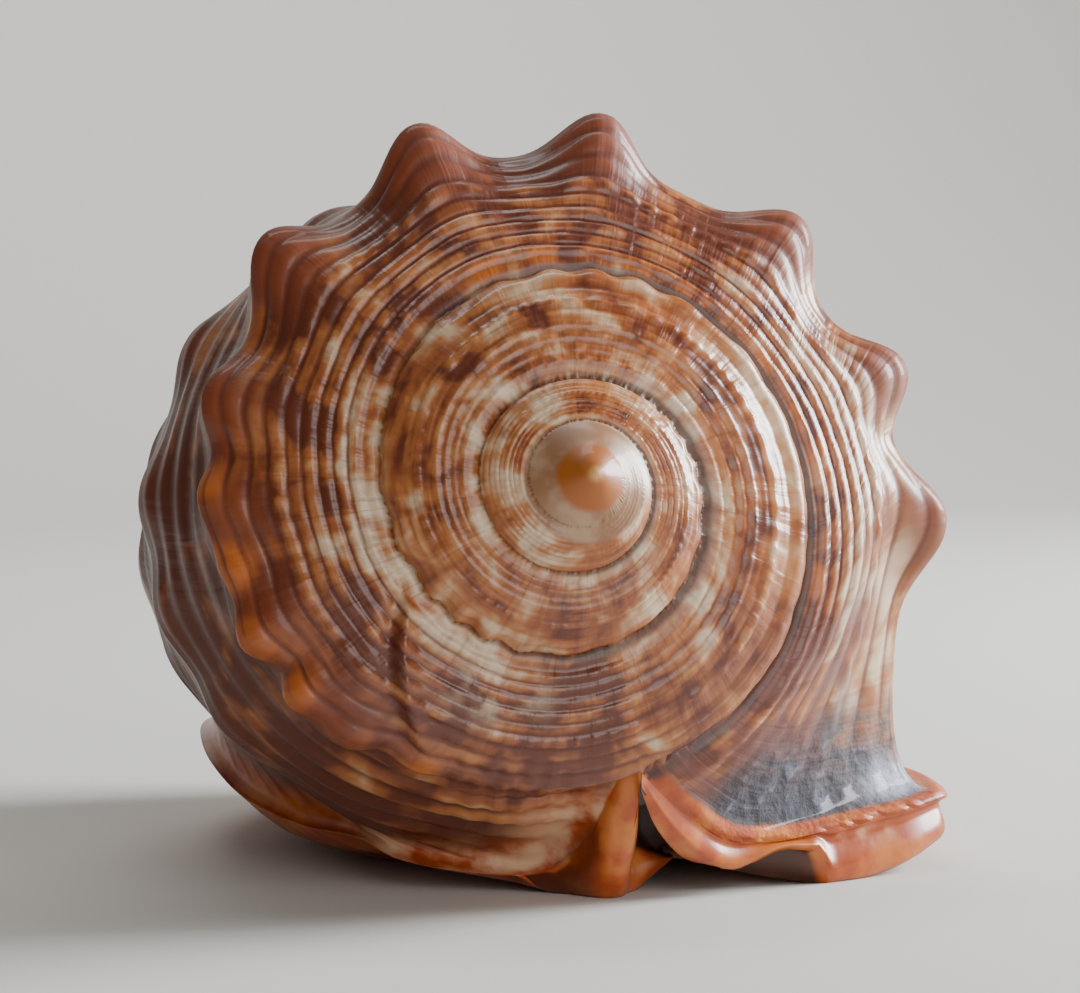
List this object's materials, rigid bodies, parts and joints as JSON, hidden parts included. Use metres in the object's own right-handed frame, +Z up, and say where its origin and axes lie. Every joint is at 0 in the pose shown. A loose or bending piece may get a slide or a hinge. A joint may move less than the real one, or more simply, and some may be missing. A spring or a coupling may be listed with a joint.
{
  "type": "seashell",
  "caption": "Heavy knobbed helmet seashell lying on its narrow toothed mouth, with a low coiled spire, flared lip and glazed shield.",
  "frame": {"origin": "centre of the bounding box at its bottom, on the table the shell rests on", "axes": "+Z up, -Y toward the spire, +Y toward the canal end, +X toward the outer lip"},
  "size_m": [0.1236, 0.147, 0.1138],
  "materials": {
    "shell": "polished"
  },
  "bodies": {
    "root": {"shell": "shell"}
  },
  "joints": []
}
